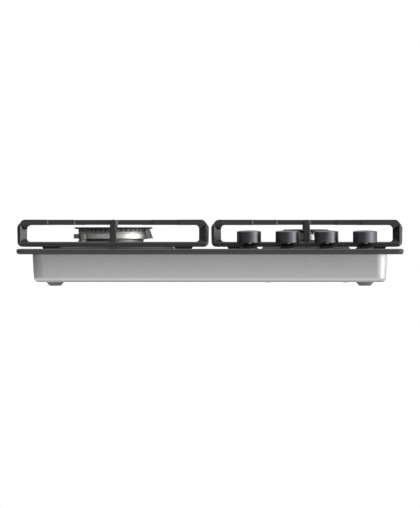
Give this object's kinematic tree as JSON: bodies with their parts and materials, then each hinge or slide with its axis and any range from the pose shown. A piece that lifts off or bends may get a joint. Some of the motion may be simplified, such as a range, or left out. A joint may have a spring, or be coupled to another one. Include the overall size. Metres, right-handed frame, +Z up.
{
  "type": "gas cooktop",
  "caption": "Built-in gas cooktop: black glass plate on a drawn steel box, gas burners, push-and-turn taps with metal knobs, lift-off cast-iron pan supports.",
  "frame": {"origin": "under the middle of the footprint, on the plane that the feet stand on", "axes": "+X to the right and +Y to the rear, seen by the cook in front; +Z up"},
  "size_m": [0.59, 0.51, 0.1009],
  "materials": {
    "black_glass": "black tempered, polished",
    "grey_painted_steel": "satin grey, smooth",
    "seal_rubber": "soft matt",
    "foot_rubber": "matt grey",
    "pad_rubber": "matt black",
    "black_enamel": "matt black vitreous enamel",
    "base_enamel": "semi-gloss black enamel",
    "enamelled_iron": "matt black enamel on cast iron",
    "crown_aluminium": "machined, satin",
    "cup_aluminium": "die-cast, blasted",
    "tap_aluminium": "die-cast",
    "rail_aluminium": "drawn tube, plain",
    "pipe_aluminium": "drawn tube, plain",
    "brass": "turned",
    "steel": "plain",
    "ceramic": "glazed white",
    "black_plastic": "moulded black",
    "white_plastic": "moulded white",
    "knob_metal": "satin metal"
  },
  "bodies": {
    "root": {"base_gaskets": "seal_rubber", "base_plate_front_right": "base_enamel", "base_plate_rear_left": "base_enamel", "base_plate_rear_right": "base_enamel", "base_plate_wok": "base_enamel", "burner_box": "grey_painted_steel", "burner_cup_front_right": "cup_aluminium", "burner_cup_rear_left": "cup_aluminium", "burner_cup_rear_right": "cup_aluminium", "burner_cup_wok": "cup_aluminium", "cable_gland": "black_plastic", "cap_front_right": "black_enamel", "cap_rear_left": "black_enamel", "cap_rear_right": "black_enamel", "cap_wok_centre": "black_enamel", "cap_wok_ring": "black_enamel", "crown_front_right": "crown_aluminium", "crown_rear_left": "crown_aluminium", "crown_rear_right": "crown_aluminium", "crown_wok_centre": "crown_aluminium", "crown_wok_outer": "crown_aluminium", "feet": "foot_rubber", "gas_inlet": "brass", "gas_pipes": "pipe_aluminium", "glass_top": "black_glass", "ignition_generator": "black_plastic", "injectors": "brass", "knob_collars": "black_plastic", "manifold_rail": "rail_aluminium", "pipe_nuts": "brass", "rail_straps": "steel", "return_spring_1": "steel", "return_spring_2": "steel", "return_spring_3": "steel", "return_spring_4": "steel", "rim_seal": "seal_rubber", "spark_plugs": "ceramic", "supply_pipe": "pipe_aluminium", "tap_body_1": "tap_aluminium", "tap_body_2": "tap_aluminium", "tap_body_3": "tap_aluminium", "tap_body_4": "tap_aluminium", "terminal_block": "white_plastic", "thermocouples": "steel"},
    "knob_1": {"knob_1": "knob_metal", "spindle_1": "steel"},
    "knob_2": {"knob_2": "knob_metal", "spindle_2": "steel"},
    "knob_3": {"knob_3": "knob_metal", "spindle_3": "steel"},
    "knob_4": {"knob_4": "knob_metal", "spindle_4": "steel"},
    "pan_support_left": {"pan_support_left": "enamelled_iron", "support_pads_left": "pad_rubber"},
    "pan_support_right": {"pan_support_right": "enamelled_iron", "support_pads_right": "pad_rubber"},
    "plunger_1": {"spring_seat_1": "steel"},
    "plunger_2": {"spring_seat_2": "steel"},
    "plunger_3": {"spring_seat_3": "steel"},
    "plunger_4": {"spring_seat_4": "steel"}
  },
  "joints": [
    {"name": "push_1", "type": "slide", "parent": "root", "child": "plunger_1", "axis": [0, 0, -1], "range_m": [0, 0.004], "stiffness_N_per_m": 1500, "springref_m": -0.002, "deforming": ["return_spring_1"]},
    {"name": "turn_1", "type": "hinge", "parent": "plunger_1", "child": "knob_1", "pos_m": [0.05935, -0.21, 0.066], "axis": [0, 0, 1], "range_deg": [0, 210]},
    {"name": "push_2", "type": "slide", "parent": "root", "child": "plunger_2", "axis": [0, 0, -1], "range_m": [0, 0.004], "stiffness_N_per_m": 1500, "springref_m": -0.002, "deforming": ["return_spring_2"]},
    {"name": "turn_2", "type": "hinge", "parent": "plunger_2", "child": "knob_2", "pos_m": [0.11835, -0.21, 0.066], "axis": [0, 0, 1], "range_deg": [0, 210]},
    {"name": "push_3", "type": "slide", "parent": "root", "child": "plunger_3", "axis": [0, 0, -1], "range_m": [0, 0.004], "stiffness_N_per_m": 1500, "springref_m": -0.002, "deforming": ["return_spring_3"]},
    {"name": "turn_3", "type": "hinge", "parent": "plunger_3", "child": "knob_3", "pos_m": [0.17735, -0.21, 0.066], "axis": [0, 0, 1], "range_deg": [0, 210]},
    {"name": "push_4", "type": "slide", "parent": "root", "child": "plunger_4", "axis": [0, 0, -1], "range_m": [0, 0.004], "stiffness_N_per_m": 1500, "springref_m": -0.002, "deforming": ["return_spring_4"]},
    {"name": "turn_4", "type": "hinge", "parent": "plunger_4", "child": "knob_4", "pos_m": [0.23635, -0.21, 0.066], "axis": [0, 0, 1], "range_deg": [0, 210]},
    {"name": "lift_left", "type": "slide", "parent": "root", "child": "pan_support_left", "axis": [0, 0, 1], "range_m": [0, 0.06]},
    {"name": "lift_right", "type": "slide", "parent": "root", "child": "pan_support_right", "axis": [0, 0, 1], "range_m": [0, 0.06]}
  ]
}
